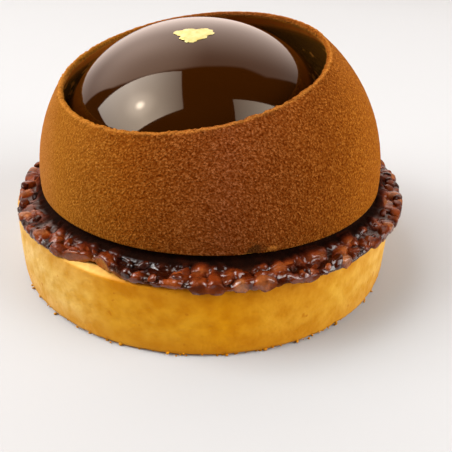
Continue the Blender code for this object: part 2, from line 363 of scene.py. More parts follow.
stageLook = {
    "cameraPlace": (3.67 * mm, -127.3 * mm, 77.6 * mm),
    "cameraPitch": 0.5236,              # radians below the horizon
    "cameraRoll": 0.023,
    "focalLength": 50.95,               # on a 36 mm wide frame
    "floorSize": 1.3,
    "floorFinish": {"Roughness": 0.9, "Specular IOR Level": 0.1},
    # painted light: the floor is painted a little paler towards the back and the right
    "paintedLightWay": (0.42, 0.9, 0.0),
    "paintedLightSpan": (-0.08, 0.26),
    "floorColours": ((0.0, (0.420, 0.418, 0.418)), (0.3, (0.450, 0.458, 0.464)),
                     (1.0, (0.497, 0.508, 0.516))),
}


def standAt(thing, columns, place):
    # the columns are where the object's own X, Y and Z point
    matrix = np.eye(4)
    matrix[:3, :3] = np.stack(columns, axis=1)
    matrix[:3, 3] = place
    thing.matrix_world = Matrix(matrix.tolist())


def makeCamera():
    data = bpy.data.cameras.new("camera")
    data.sensor_fit = "HORIZONTAL"
    data.sensor_width = 36.0
    data.lens = stageLook["focalLength"]
    data.clip_start = 0.005
    camera = addObject("camera", data)
    pitch, roll = stageLook["cameraPitch"], stageLook["cameraRoll"]
    forward = np.array([0.0, math.cos(pitch), -math.sin(pitch)])
    level = np.array([1.0, 0.0, 0.0])
    above = np.cross(level, forward)
    side = math.cos(roll) * level + math.sin(roll) * above
    top = math.cos(roll) * above - math.sin(roll) * level
    standAt(camera, [side, top, -forward], stageLook["cameraPlace"])
    bpy.context.scene.camera = camera


def makeFloor():
    half = stageLook["floorSize"] / 2.0
    mesh = bpy.data.meshes.new("floor")
    mesh.from_pydata([(-half, -half, 0.0), (half, -half, 0.0), (half, half, 0.0), (-half, half, 0.0)],
                     [], [(0, 1, 2, 3)])
    material, tree, shader = newMaterial("floorPaper", stageLook["floorFinish"])
    # painted light: the floor's colour grows paler towards the back and the right
    away = combineVectors(tree, "DOT_PRODUCT", objectPlace(tree), stageLook["paintedLightWay"])["Value"]
    floorLight = mapRange(tree, away, *stageLook["paintedLightSpan"])
    fillSockets(tree, shader, {"Base Color": colourRamp(tree, floorLight, stageLook["floorColours"])})
    mesh.materials.append(material)
    addObject("floor", mesh)


softboxes = {
    # centre, direction of the short side, direction of the long side (metres, unit vectors),
    # glow along the long side at places 0..1, strength and place of the lamp behind the cloth
    "leftBox": {
        "centre": (-0.620, -0.147, 0.770), "across": (-0.008, -0.9975, -0.070),
        "along": (0.671, -0.058, 0.739),
        "glow": ((0.0, 5.1), (0.2, 7.4), (0.43, 9.4), (0.65, 7.2), (0.80, 5.0), (1.0, 2.7)),
        "lamp": 19.0, "lampPlace": (0.55, 0.47, 0.0)},
    "rightBox": {
        "centre": (0.787, -0.365, 0.498), "across": (-0.294, 0.917, 0.270),
        "along": (-0.618, -0.398, 0.678),
        "glow": ((0.0, 5.1), (0.3, 6.8), (0.5, 7.0), (0.8, 4.0), (1.0, 2.4)),
        "lamp": 8.0, "lampPlace": (0.40, 0.45, 0.0)},
}
softboxSize = (0.735, 1.073)
# bright middle and soft halo of the lamp: radius as a share of the short side, and strength
lampSpots = ((0.060, 1.0), (0.19, 0.22))


def unit(vector):
    vector = np.array(vector, dtype=float)
    return vector / np.linalg.norm(vector)


def lightCloth(tree, look):
    # glow of the cloth from a curve along its long side, plus two soft spots for the lamp
    place = addNode(tree, "ShaderNodeNewGeometry", {}).outputs["Parametric"]
    top = max(value for where, value in look["glow"])
    curve = [(where, (value / top,) * 3) for where, value in look["glow"]]
    total = combine(tree, "MULTIPLY", colourRamp(tree, partsOf(tree, place)["Y"], curve), top)
    offset = combineVectors(tree, "SUBTRACT", place, look["lampPlace"])["Vector"]
    square = (1.0, softboxSize[1] / softboxSize[0], 0.0)
    offset = combineVectors(tree, "MULTIPLY", offset, square)["Vector"]
    away = combineVectors(tree, "LENGTH", offset)["Value"]
    for radius, share in lampSpots:
        spot = mapRange(tree, away, 0.0, radius * 2.0, look["lamp"] * share, 0.0, "SMOOTHERSTEP")
        total = combine(tree, "ADD", total, spot)
    return total


def makeLights():
    for name, look in softboxes.items():
        data = bpy.data.lights.new(name, "AREA")
        data.shape = "RECTANGLE"
        data.size, data.size_y = softboxSize
        data.energy = math.pi * softboxSize[0] * softboxSize[1]
        data.use_nodes = True
        glow = lightCloth(data.node_tree, look)
        data.node_tree.links.new(glow, data.node_tree.nodes["Emission"].inputs["Strength"])
        across, along = unit(look["across"]), unit(look["along"])
        standAt(addObject(name, data), [across, along, np.cross(across, along)], look["centre"])


roomLook = {
    "dark": (0.040, 0.030, 0.012),      # unlit studio in front and overhead
    "pale": (0.90, 0.89, 0.87),
    "backdrop": 0.86,                   # glow of the white backdrop behind the tart
    "backdropTint": (1.0, 0.82, 0.73),
    # lowest rearward share of a direction that still meets the backdrop, by its sideways share
    "edge": ((-1.0, 0.85), (-0.82, 0.46), (-0.77, 0.33), (-0.68, 0.265), (-0.5, 0.215), (-0.2, 0.205),
             (0.1, 0.255), (0.35, 0.325), (0.55, 0.32), (0.65, 0.425), (0.72, 0.55), (1.0, 0.90)),
    "edgeBlur": (-0.025, 0.035),
    # brighter patches on it: direction, cosine where the patch ends, added glow
    "patches": (((0.02, 0.90, 0.43), 0.72, 1.05), ((-0.56, 0.36, 0.75), 0.80, 1.5),
                ((-0.5, 0.83, 0.2), 0.75, 0.28)),
}


def makeRoom():
    # the backdrop's glow where the direction leans back beyond its edge, the dark room elsewhere
    world = bpy.data.worlds.new("room")
    bpy.context.scene.world = world
    world.use_nodes = True
    tree = world.node_tree
    way = addNode(tree, "ShaderNodeTexCoord", {}).outputs["Generated"]
    parts = partsOf(tree, way)
    sideways = mapRange(tree, parts["X"], -1.0, 1.0)
    edge = colourRamp(tree, sideways, [((x + 1.0) / 2.0, (y,) * 3) for x, y in roomLook["edge"]])
    beyond = combine(tree, "SUBTRACT", parts["Y"], edge)
    shown = mapRange(tree, beyond, *roomLook["edgeBlur"], easing="SMOOTHSTEP")
    glow = roomLook["backdrop"]
    for direction, end, added in roomLook["patches"]:
        near = combineVectors(tree, "DOT_PRODUCT", way, tuple(unit(direction)))["Value"]
        glow = combine(tree, "ADD", mapRange(tree, near, end, 1.0, 0.0, added, "SMOOTHSTEP"), glow)
    bright = mixColours(tree, 1.0, glow, roomLook["backdropTint"], "MULTIPLY")
    colour = mixColours(tree, shown, roomLook["dark"], bright)
    # seen straight on, the room is as pale as the floor
    seen = addNode(tree, "ShaderNodeLightPath", {}).outputs["Is Camera Ray"]
    colour = mixColours(tree, seen, colour, roomLook["pale"])
    tree.links.new(colour, tree.nodes["Background"].inputs["Color"])


makeCamera()
makeFloor()
makeLights()
makeRoom()
bpy.context.scene.view_settings.view_transform = "Standard"
print("stage ready")


# Tart base

crust = {
    "centreX": -1.1 * mm,
    "height": 14.9 * mm,
    "radius": 40.0 * mm,
    "wall": 3.2 * mm,
    "recess": 2.2 * mm,
    "footRound": 1.2 * mm,
    "rimRound": 0.55 * mm,
    "belly": 0.2 * mm,
    "wobble": 0.18 * mm,
    "wobbleFrom": 37.4 * mm,            # the wall outside this radius sways, the recess does not
    "spacing": 0.32 * mm,
    "columns": 790,
    # relief: its depth or height, then the size, seed and layers of its noise
    "poreDepth": 0.20 * mm,
    "pores": (1.1 * mm, 5),
    "poreShare": 0.62,                  # random number above which a cell has an open pore
    "lumpHeight": 0.10 * mm,
    "lumps": (5.0 * mm, 3, 4),
    "crumbHeight": 0.035 * mm,
    "crumb": (0.75 * mm, 17),
    "footWear": 0.10 * mm,
    "footNoise": (1.3 * mm, 23, 2),
    "rimWear": 0.20 * mm,
    "rimNoise": (1.2 * mm, 31, 2),
    "highest": 0.16 * mm,
    "bareDirection": math.radians(-119.5),      # where the crunch leaves the rim bare
    "bareWidth": 0.17,
    "finish": {"Roughness": 0.62, "Specular IOR Level": 0.12, "Specular Tint": (1.0, 0.55, 0.10, 1.0)},
    # painted light: paler on the left, where the light falls, and on the right; deeper orange in the shade
    # at the front
    "paintedSideLight": ((0.0, (0.69, 0.505, 0.260)), (0.14, (0.68, 0.452, 0.150)), (0.30, (0.70, 0.370, 0.031)),
                  (0.55, (0.63, 0.268, 0.005)), (0.80, (0.665, 0.357, 0.040)), (1.0, (0.73, 0.445, 0.125))),
    # patches: scale, detail and the two limits of their noise
    "broad": (90.0, 2.0, 0.32, 0.68),
    "broadTone": (0.90, 0.80, 0.52),
    "mottle": (330.0, 2.5, 0.36, 0.64),
    "mottleTone": (0.83, 0.70, 0.34),
    "specks": (470.0, 1.5, 0.70, 0.75),
    "speckTone": (0.46, 0.150, 0.004),
    "crumbScale": 1500.0,
    "crumbBump": (0.3, 0.12 * mm),      # strength and distance
    "mottleBump": (0.2, 0.15 * mm),
    # colour and the heights between which it comes in
    # painted shade: darker towards the foot
    "footTone": (0.50, 0.175, 0.006),
    "footShadeSpan": (0.3 * mm, 6.0 * mm),
    # painted shade: darker near the top, under the crunch's edge
    "upperShade": (0.88, 0.77, 0.60),
    "upperShadeSpan": (10.5 * mm, 14.4 * mm),
    "rimAmber": (0.56, 0.210, 0.016),   # where the glaze runs over the rim
    # the bare rim's pale crumb, with a painted highlight on its top
    "rimCreamHighlight": (0.86, 0.60, 0.20),     # crumb of the bare rim
    "rimSpan": (14.5 * mm, 14.9 * mm),
}


def crustWobble(angle):
    return crust["wobble"] * (np.sin(3.0 * angle + 0.6) + 0.6 * np.sin(7.0 * angle + 2.1))


def crustSection():
    # up the outside from the foot, over the rim and down into the recess
    foot, rim, inner = crust["footRound"], crust["rimRound"], crust["radius"] - crust["wall"]
    top = crust["height"]
    heights = np.linspace(foot, top - rim, 12)
    wall = [(crust["radius"] + crust["belly"] * math.sin(math.pi * h / top), h) for h in heights]
    corners = cornerArc((wall[0][0] - foot, foot), foot, -90, -8, 6) + wall
    corners += cornerArc((wall[-1][0] - rim, top - rim), rim, 8, 90, 5)
    corners += [(inner + 0.8 * mm, top - 0.1 * mm), (inner + 0.2 * mm, top - 0.5 * mm)]
    corners += [(inner, top - 0.9 * mm), (inner, top - crust["recess"])]
    return alongPath(corners, crust["spacing"])


def makeCrust(material):
    # a profile turned round, pushed in and out along its normals by mounds, crumb, wear and pores
    section = crustSection()
    angle = roundAngles(crust["columns"])
    radius, height = section[:, :1], section[:, 1:]
    sway = crustWobble(angle) * np.clip(height / crust["height"], 0.0, 1.0)
    points = turnedSurface(radius + sway * (radius > crust["wobbleFrom"]), height, angle, crust["centreX"])
    normal = gridNormals(points)
    mounds = layeredNoise(points, *crust["lumps"]) * crust["lumpHeight"]
    crumb = softNoise(points, *crust["crumb"]) * crust["crumbHeight"]
    nearest, draw = pebbles(points, *crust["pores"])
    openPore = (draw > crust["poreShare"]) * smoothStep(0.34, 0.05, nearest) * (0.4 + 0.6 * draw)
    atFoot = smoothStep(2.2 * mm, 0.2 * mm, height) * crust["footWear"]
    atRim = smoothStep(crust["height"] - 1.0 * mm, crust["height"], height) * crust["rimWear"]
    wear = atFoot * layeredNoise(points, *crust["footNoise"])
    wear = wear + atRim * layeredNoise(points, *crust["rimNoise"])
    push = np.minimum(mounds + crumb + wear - crust["poreDepth"] * openPore, crust["highest"])
    points = points + normal * push[..., None]
    points[..., 2] = np.maximum(points[..., 2], 0.0)
    points = insideBox(points)
    verts, faces = closedGrid(points, [crust["centreX"], 0.0, 0.0],
                              [crust["centreX"], 0.0, points[-1, :, 2].mean()])
    bare = bell(angle, crust["bareDirection"], crust["bareWidth"]) * np.ones_like(height)
    return meshPiece("bakedCrust", verts, faces, "pastry_base", material,
                     {"bare": np.append(bare, [0.0, 0.0])})


def crustMaterial():
    material, tree, shader = newMaterial("shortcrust", crust["finish"])
    place = objectPlace(tree)
    parts = partsOf(tree, place)
    broad, mottle, specks = (patches(tree, place, *crust[name]) for name in ("broad", "mottle", "specks"))
    # painted light: the wall's colour runs from its lit left through the shaded front to its lit right
    side = mapRange(tree, parts["X"], -crust["radius"], crust["radius"])
    base = colourRamp(tree, side, crust["paintedSideLight"])
    base = tinted(tree, base, broad, crust["broadTone"])
    base = tinted(tree, base, mottle, crust["mottleTone"])
    # painted shade towards the foot
    foot = mapRange(tree, parts["Z"], *crust["footShadeSpan"], 0.58, 0.0)
    base = mixColours(tree, foot, base, crust["footTone"])
    base = mixColours(tree, combine(tree, "MULTIPLY", specks, 0.75), base, crust["speckTone"])
    # painted shade near the top, under the crunch's edge
    upper = mapRange(tree, parts["Z"], *crust["upperShadeSpan"])
    base = mixColours(tree, upper, base, crust["upperShade"], "MULTIPLY")
    # the rim's top: amber glaze where covered, pale crumb with a painted highlight where bare
    rimColour = mixColours(tree, readShade(tree, "bare"), crust["rimAmber"], crust["rimCreamHighlight"])
    base = mixColours(tree, mapRange(tree, parts["Z"], *crust["rimSpan"], 0.0, 0.55), base, rimColour)
    fine = bumpFrom(tree, grain(tree, place, crust["crumbScale"]), *crust["crumbBump"])
    normal = bumpFrom(tree, mottle, *crust["mottleBump"], fine)
    fillSockets(tree, shader, {"Base Color": base, "Normal": normal})
    return material


crustLook = crustMaterial()
makeCrust(crustLook)
print("tart base ready")


# Crunch: chopped nuts under a glaze that runs over them, with loose ones on top

crunch = {
    "centreX": 0.2 * mm,
    "seatRadius": 35.3 * mm,
    "seatHeight": 18.4 * mm,
    "spread": 40.9 * mm,
    "spreadWave": 0.35 * mm,
    "edge": 1.0 * mm,
    "shoulder": 2.7 * mm,
    "hollow": (37.7 * mm, 1.5 * mm),    # radius and height above the rim of the slope's hollow
    "gap": 0.3 * mm,
    # direction, half width and depth of each stretch drawn in where the rim shows (or let out)
    "bareStretches": ((-120.0, 7.0, 2.3 * mm), (-177.0, 20.0, 0.35 * mm), (-147.0, 15.0, -0.35 * mm),
                      (-106.0, 8.0, -0.25 * mm)),
    "bareDirection": math.radians(-120.5),
    "bareWidth": math.radians(9.0),
    "columns": 1180,
    "hiddenSpacing": 0.9 * mm,
    "shownSpacing": 0.15 * mm,
    "overhang": 0.22 * mm,
    "top": 18.3 * mm,                   # highest point beside the bowl's foot
    "topRise": -0.25,
    "footReach": 36.6 * mm,
    # relief: its height, then the size, seed and layers of its noise
    "swell": 0.18 * mm,
    "swellNoise": (2.4 * mm, 43, 1),
    "ridges": 0.20 * mm,
    "ridgeNoise": (1.0 * mm, 47, 2),
    "finish": {"Coat Roughness": 0.10, "Specular IOR Level": 0.10, "Specular Tint": (1.0, 0.60, 0.40, 1.0)},
    # from bare glaze to the palest nut
    "tones": ((0.0, (0.006, 0.001, 0.0003)), (0.22, (0.066, 0.0078, 0.001)),
              (0.50, (0.175, 0.0275, 0.004)), (0.78, (0.245, 0.053, 0.0095)),
              (1.0, (0.350, 0.112, 0.031))),
    "amberTone": (0.330, 0.085, 0.007),  # thin glaze at the outer edge
    # patches: scale, detail and the two limits of their noise
    "smears": (520.0, 3.0, 0.35, 0.65),
    "smearTone": (0.40, 0.33, 0.33),
    "wrinkle": (1050.0, 3.0, 0.25, 0.75),
    "wrinkleBump": (0.75, 0.32 * mm),   # strength and distance
    "skins": (360.0, 2.5, 0.43, 0.51),
    "roughness": (1.0, 0.22),           # in the shade by the foot and in the open
    "coat": 0.95,
    # the sides are calmer than the front: shares taken off their lumps and ridges, and what is
    # left of their glossy skin and wrinkles
    "calmLumps": 0.25,
    "calmRidges": 0.7,
    "calmShare": 0.28,
}

lumps = {
    "seed": 5,
    "count": 540,
    "halfLength": (0.75 * mm, 2.5 * mm),
    "slimness": (0.5, 0.95),
    "height": (0.30, 0.62),             # share of the half width
    "along": (0.3 * mm, 6.6 * mm),      # where they lie on the section, from its outer edge
    "sides": 5,
    "reach": (0.72, 1.0),               # of each side, in half lengths and half widths
    "jitter": 0.3,                      # of each side's direction, radians
    "lean": 0.45,
    "bevel": 1.8,
    "bend": 0.45 * mm,                  # how far their outlines are bent by the two noises
    "bendNoises": ((1.9 * mm, 51, 2), (1.9 * mm, 53, 2)),
    "headroom": 1.15 * mm,
    # placed ones: direction, distance from the outer edge, half length, half width, height, turn, tint
    "placed": ((-75.5, 2.0, 2.2, 1.9, 1.10, 0.6, 0.78), (-67.6, 4.2, 1.6, 1.0, 0.8, 0.2, 0.05),
               (-64.4, 1.1, 2.3, 0.55, 0.5, 0.0, 0.80), (-109.4, 2.1, 1.5, 1.1, 0.9, 1.1, 0.10),
               (-115.4, 3.8, 1.5, 0.9, 0.8, -0.5, 0.10), (-69.8, 2.0, 1.1, 0.9, 0.8, 0.8, 0.05),
               (-140.0, 2.6, 2.4, 1.5, 0.9, 0.4, 0.90), (-152.0, 2.4, 2.4, 1.6, 1.0, 0.9, 0.92),
               (-166.0, 2.6, 2.2, 1.5, 0.9, -0.6, 0.85), (178.0, 2.2, 2.3, 1.6, 1.0, 0.5, 0.88),
               (-12.0, 2.2, 2.2, 1.6, 0.9, 0.8, 0.75), (4.0, 2.5, 2.4, 1.7, 1.0, 0.2, 0.82),
               (-30.0, 2.0, 1.9, 1.4, 0.9, -0.7, 0.70), (-90.0, 1.0, 2.2, 1.0, 0.4, 0.0, 0.55)),
}


def crunchOutline(angle):
    # wavy circle, drawn in where the rim shows at the front left and the left
    wave = 0.6 * np.sin(5.0 * angle + 1.3) + 0.4 * np.sin(11.0 * angle)
    reach = crunch["spread"] + crunch["spreadWave"] * wave
    for direction, width, depth in crunch["bareStretches"]:
        reach = reach - depth * bell(angle, math.radians(direction), math.radians(width))
    return reach


def ceilingAt(radius):
    # the line that keeps the crunch clear of the bowl's foot
    return crunch["top"] + crunch["topRise"] * np.maximum(radius - crunch["footReach"], 0.0)


def keepInside(points, slack):
    # pull points back inside the outline plus its overhang, and below the ceiling
    middle = np.array([crunch["centreX"], 0.0])
    across = points[..., :2] - middle
    out = np.linalg.norm(across, axis=-1)
    angle = np.arctan2(across[..., 1], across[..., 0])
    covered = 1.0 - bell(angle, crunch["bareDirection"], crunch["bareWidth"])
    limit = crunchOutline(angle) + crunch["overhang"] * covered - slack
    kept = np.minimum(limit / np.maximum(out, mm), 1.0)
    return middle + across * kept[..., None], np.minimum(points[..., 2], ceilingAt(out * kept) - slack)


def crunchSection():
    # from the recess floor up the recess and out under the edge (coarse), then over the
    # edge, up the slope to the bowl's foot and in to the seat (fine)
    rim, gap, spread, seat = crust["height"], crunch["gap"], crunch["spread"], crunch["seatRadius"]
    inner, shelf, shoulder = crust["radius"] - crust["wall"] - gap, rim + gap, rim + crunch["shoulder"]
    hidden = alongPath([(inner, rim - crust["recess"] + gap), (inner, shelf), (spread - 1.2 * mm, shelf)],
                       crunch["hiddenSpacing"])
    edge = [(spread - 0.9 * mm, shelf), (spread - 0.1 * mm, shelf + 0.1 * mm), (spread, shelf + 0.4 * mm),
            (spread - 0.5 * mm, shelf + crunch["edge"])]
    slope = [(crunch["hollow"][0], rim + crunch["hollow"][1]), (seat + 0.9 * mm, shoulder - 0.3 * mm),
             (seat, shoulder), (seat, crunch["seatHeight"]), (seat - 0.8 * mm, crunch["seatHeight"])]
    return hidden, alongPath(edge + slope, crunch["shownSpacing"])


def lumpList():
    # random lumps, small ones most often, then the placed ones; one row each
    draw = np.random.default_rng(lumps["seed"])
    count = lumps["count"]
    low, high = lumps["halfLength"]
    length = low + (high - low) * draw.random(count) ** 1.7
    width = length * draw.uniform(*lumps["slimness"], count)
    rows = np.stack([draw.uniform(0.0, fullTurn, count), draw.uniform(*lumps["along"], count), length,
                     width, width * draw.uniform(*lumps["height"], count), draw.uniform(0.0, math.pi, count),
                     draw.random(count)], axis=1)
    placed = np.array(lumps["placed"]) * np.array([math.pi / 180.0, mm, mm, mm, mm, 1.0, 1.0])
    return np.vstack([rows, placed]), draw


def lumpField(angle, along, bendAcross, bendAlong):
    # every lump is a leaning flat top with bevelled sides, about height * min(1, bevel (1 - rho)),
    # where rho is the distance to its bent five-sided outline; the fourth-power sum joins them
    # smoothly and carries their tints
    rows, draw = lumpList()
    jitter, lean = lumps["jitter"], lumps["lean"]
    columns = angle.shape[1]
    step = fullTurn / columns
    total, tints = np.zeros((len(along), columns)), np.zeros((len(along), columns))
    radius = crunch["spread"] - 1.5 * mm
    for direction, place, length, width, height, turn, tint in rows:
        span = int(1.4 * length / (radius * step)) + 3
        middle = int(round(direction / step))
        window = np.arange(middle - span, middle + span + 1)
        bent = window % columns
        # round and up the section from the lump's middle, then along its own length and width
        p = (window * step - direction)[None, :] * radius + bendAcross[:, bent]
        q = (along - place)[:, None] + bendAlong[:, bent]
        x = (math.cos(turn) * p + math.sin(turn) * q) / length
        y = (math.cos(turn) * q - math.sin(turn) * p) / width
        side = draw.uniform(0.0, fullTurn) + np.arange(lumps["sides"]) * fullTurn / lumps["sides"]
        side = side + draw.uniform(-jitter, jitter, lumps["sides"])
        reach = draw.uniform(*lumps["reach"], lumps["sides"])
        flat = ((x[..., None] * np.cos(side) + y[..., None] * np.sin(side)) / reach).max(axis=-1)
        rho = np.clip(0.75 * flat + 0.25 * np.hypot(x, y), 0.0, 1.0)
        slant = 1.0 + draw.uniform(-lean, lean) * x + draw.uniform(-lean, lean) * y
        bevel = lumps["bevel"] * (1.0 - rho)
        mound = (height / mm * bevel / (1.0 + bevel ** 4) ** 0.25 * np.clip(slant, 0.3, 1.6)) ** 4
        total[:, bent] += mound
        tints[:, bent] += mound * tint
    return total ** 0.25 * mm, tints / np.maximum(total, 1e-9)


def makeGlazeLayer(material):
    # the section laid round and raised by the lumps, with fine wrinkles in the glaze
    hidden, shown = crunchSection()
    section = np.vstack([hidden, shown])
    inner = crust["radius"] - crust["wall"]
    angle = roundAngles(crunch["columns"])
    radius, height = section[:, :1], section[:, 1:]
    over = smoothStep(inner, inner + 1.0 * mm, radius) * np.ones_like(angle)
    wide = radius + over * (crunchOutline(angle) - crunch["spread"])
    inRecess = (height < crust["height"] + 0.2 * mm) & (radius < inner + 0.1 * mm)
    points = turnedSurface(wide, height, angle, np.where(inRecess, crust["centreX"], crunch["centreX"]))
    along = np.concatenate([[0.0], np.cumsum(np.linalg.norm(np.diff(shown, axis=0), axis=1))])
    foot = along[-1] - 2.5 * mm         # where the slope meets the bowl's foot
    flesh = points[len(hidden):]
    bends = [lumps["bend"] * layeredNoise(flesh, *noise) for noise in lumps["bendNoises"]]
    mounds, tints = lumpField(angle, along, *bends)
    # smoother mounds at the sides than in front: lower lumps and shallower ridges there; ridges are 0.4 -
    # |noise|
    calm = np.cos(angle) ** 2
    swell = crunch["swell"] * layeredNoise(flesh, *crunch["swellNoise"])
    ridges = 0.4 - np.abs(layeredNoise(flesh, *crunch["ridgeNoise"]))
    swell = swell + crunch["ridges"] * (1.0 - crunch["calmRidges"] * calm) * ridges
    onSlope = smoothStep(0.1 * mm, 0.6 * mm, along) * smoothStep(foot + 0.7 * mm, foot + 0.1 * mm, along)
    room = (ceilingAt(radius) - height)[len(hidden):] / lumps["headroom"]
    raised = mounds * (1.0 - crunch["calmLumps"] * calm) + swell
    push = onSlope[:, None] * np.clip(room, 0.0, 1.0) * raised
    points[len(hidden):] += gridNormals(points)[len(hidden):] * push[..., None]
    kept, top = keepInside(points, 0.03 * mm)
    risen = (section[:, 0] < crunch["seatRadius"] + 0.1 * mm)[:, None]
    points[..., :2] = np.where(inRecess[..., None], points[..., :2], kept)
    points[..., 2] = np.where(risen, points[..., 2], top)
    verts, faces = closedGrid(insideBox(points), [crust["centreX"], 0.0, section[0, 1]],
                              [crunch["centreX"], 0.0, crunch["seatHeight"]])
    # painted shade towards the bowl's foot; darker between the lumps, amber along the outer edge
    depth = smoothStep(0.1 * mm, 0.7 * mm, mounds)
    shade = smoothStep(foot + 0.1 * mm, foot - 1.9 * mm, along)[:, None]
    tint = (0.14 + 0.86 * tints) * (0.4 + 0.6 * depth) * (0.1 + 0.9 * shade)
    # painted light: the tint is raised at the sides, most of all on the right
    tint = np.clip(tint * (1.02 + 0.26 * calm + 0.22 * np.cos(angle)), 0.0, 1.0)
    bare = bell(angle, crunch["bareDirection"], crunch["bareWidth"])
    amber = smoothStep(1.0, 0.1, along[:, None] / ((1.3 + 0.9 * bare) * mm))
    amber = amber * (1.0 - (0.6 - 0.3 * bare) * depth)
    # each with its value on the hidden rows; the two centre points take 0
    looks = {"tint": (0.0, tint), "amber": (1.0, amber), "shade": (1.0, shade), "calm": (0.0, calm)}
    for name, (under, values) in looks.items():
        rows = np.vstack([np.full((len(hidden), angle.size), under), values * np.ones_like(tint)])
        looks[name] = np.append(rows, [0.0, 0.0])
    return meshPiece("glazedCrunch", verts, faces, "nut_crunch", material, looks)


nuts = {
    "seed": 23,
    "count": 90,
    "ring": (37.0 * mm, 41.0 * mm),
    "length": (1.3 * mm, 3.6 * mm),
    "width": (0.6, 0.95),
    "flatness": (0.45, 0.75),
    "rise": 0.7 * mm,                   # of the glaze above the section's edge
    "climb": 0.5 * mm,                  # more of it at the bowl's foot
    "sink": (-0.34, -0.06),             # middle above the glaze, in lengths
    "shadeRing": (36.3 * mm, 38.3 * mm),
}

# how every nut and crumb is cut from its ball
chunk = {
    "planes": 7,
    "depth": (0.6, 0.9),
    "bumps": (0.96, 1.04),
    "skew": 1.4,                        # above 1, small ones are the most common
    "tip": 0.9,                         # how far they tip over, radians
    "fullness": 1.7,                    # their mean width in radii of the cut ball
}


def halvedEdges(verts, faces):
    # every triangle becomes four, with the new corners on the unit ball
    edges = np.sort(np.concatenate([faces[:, [0, 1]], faces[:, [1, 2]], faces[:, [2, 0]]]), axis=1)
    unique, index = np.unique(edges, axis=0, return_inverse=True)
    ab, bc, ca = index.reshape(3, -1) + len(verts)
    a, b, c = faces.T
    quarters = ((a, ab, ca), (b, bc, ab), (c, ca, bc), (ab, bc, ca))
    faces = np.concatenate([np.stack(corners, axis=1) for corners in quarters])
    verts = np.concatenate([verts, verts[unique].mean(axis=1)])
    return verts / np.linalg.norm(verts, axis=1, keepdims=True), faces


def roundedChunk(halvings):
    # a twenty-sided ball with its edges halved once (80 faces) or twice (320 faces)
    golden = (1.0 + math.sqrt(5.0)) / 2.0
    corners = np.array([(-1, golden, 0), (1, golden, 0), (-1, -golden, 0), (1, -golden, 0), (0, -1, golden),
                        (0, 1, golden), (0, -1, -golden), (0, 1, -golden), (golden, 0, -1), (golden, 0, 1),
                        (-golden, 0, -1), (-golden, 0, 1)], dtype=float)
    sides = np.array([(0, 11, 5), (0, 5, 1), (0, 1, 7), (0, 7, 10), (0, 10, 11), (1, 5, 9), (5, 11, 4),
                      (11, 10, 2), (10, 7, 6), (7, 1, 8), (3, 9, 4), (3, 4, 2), (3, 2, 6), (3, 6, 8),
                      (3, 8, 9), (4, 9, 5), (2, 4, 11), (6, 2, 10), (8, 6, 7), (9, 8, 1)])
    for i in range(halvings):
        corners, sides = halvedEdges(corners, sides)
    return corners, sides


def turnMatrices(draws):
    # one rotation per nut from three random angles, as whole arrays
    a, b, c = (draws * np.array([chunk["tip"], chunk["tip"], fullTurn])).T
    zero, one = np.zeros_like(a), np.ones_like(a)
    aboutX = np.array([[one, zero, zero], [zero, np.cos(a), -np.sin(a)], [zero, np.sin(a), np.cos(a)]])
    aboutY = np.array([[np.cos(b), zero, np.sin(b)], [zero, one, zero], [-np.sin(b), zero, np.cos(b)]])
    aboutZ = np.array([[np.cos(c), -np.sin(c), zero], [np.sin(c), np.cos(c), zero], [zero, zero, one]])
    return np.einsum("ijn,jkn,kln->nil", aboutZ, aboutY, aboutX)


def cutChunks(draw, look, halvings):
    # the chunk cut by a few random planes, stretched and turned, once for every piece
    count = look["count"]
    ball, sides = roundedChunk(halvings)
    planes = draw.normal(size=(count, chunk["planes"], 3))
    planes /= np.linalg.norm(planes, axis=2, keepdims=True)
    depth = draw.uniform(*chunk["depth"], (count, chunk["planes"]))
    reach = np.einsum("vk,npk->nvp", ball, planes) / depth[:, None, :]
    shapes = ball[None] / np.maximum(reach.max(axis=2), 1.0)[..., None]
    shapes = shapes * draw.uniform(*chunk["bumps"], (count, len(ball), 1))
    low, high = look["length"]
    length = low + (high - low) * draw.random(count) ** chunk["skew"]
    size = np.stack([length, length * draw.uniform(*look["width"], count),
                     length * draw.uniform(*look["flatness"], count)], axis=1) / chunk["fullness"]
    turns = turnMatrices(draw.uniform(-1.0, 1.0, (count, 3)))
    shapes = np.einsum("nij,nvj->nvi", turns, shapes * size[:, None, :])
    faces = (sides[None] + np.arange(count)[:, None, None] * len(ball)).reshape(-1, 3)
    return shapes, length, faces


def makeChoppedNuts(material):
    # every nut is set on the ring, at the golden angle from the last, and sunk into the glaze
    draw = np.random.default_rng(nuts["seed"])
    count, (low, high) = nuts["count"], nuts["ring"]
    shapes, length, faces = cutChunks(draw, nuts, 2)
    angle = np.arange(count) * math.pi * (3.0 - math.sqrt(5.0)) + draw.uniform(-0.02, 0.02, count)
    radius = np.minimum(low + (high - low) * draw.random(count), crunchOutline(angle) - 0.3 * length)
    climb = (crunch["spread"] - radius) / (crunch["spread"] - crunch["seatRadius"])
    height = crust["height"] + crunch["edge"] + nuts["rise"] + nuts["climb"] * climb
    height = height + draw.uniform(*nuts["sink"], count) * length
    verts = shapes + turnedSurface(radius, height, angle, crunch["centreX"])[:, None, :]
    kept, top = keepInside(verts, draw.uniform(0.0, 0.3, (count, 1)) * mm)
    verts[..., :2] = kept
    verts[..., 2] = np.maximum(top, crust["height"] + crunch["gap"] + 0.05 * mm)
    verts = insideBox(verts)
    # painted shade: nuts near the bowl get darker tints
    near = smoothStep(*nuts["shadeRing"], radius)
    looks = {"tint": draw.random(count) * (0.1 + 0.58 * near), "amber": np.zeros(count), "shade": near,
             "calm": np.cos(angle) ** 2}
    looks = {name: np.repeat(values, shapes.shape[1]) for name, values in looks.items()}
    return meshPiece("choppedNuts", verts, [faces], "nut_crunch", material, looks)


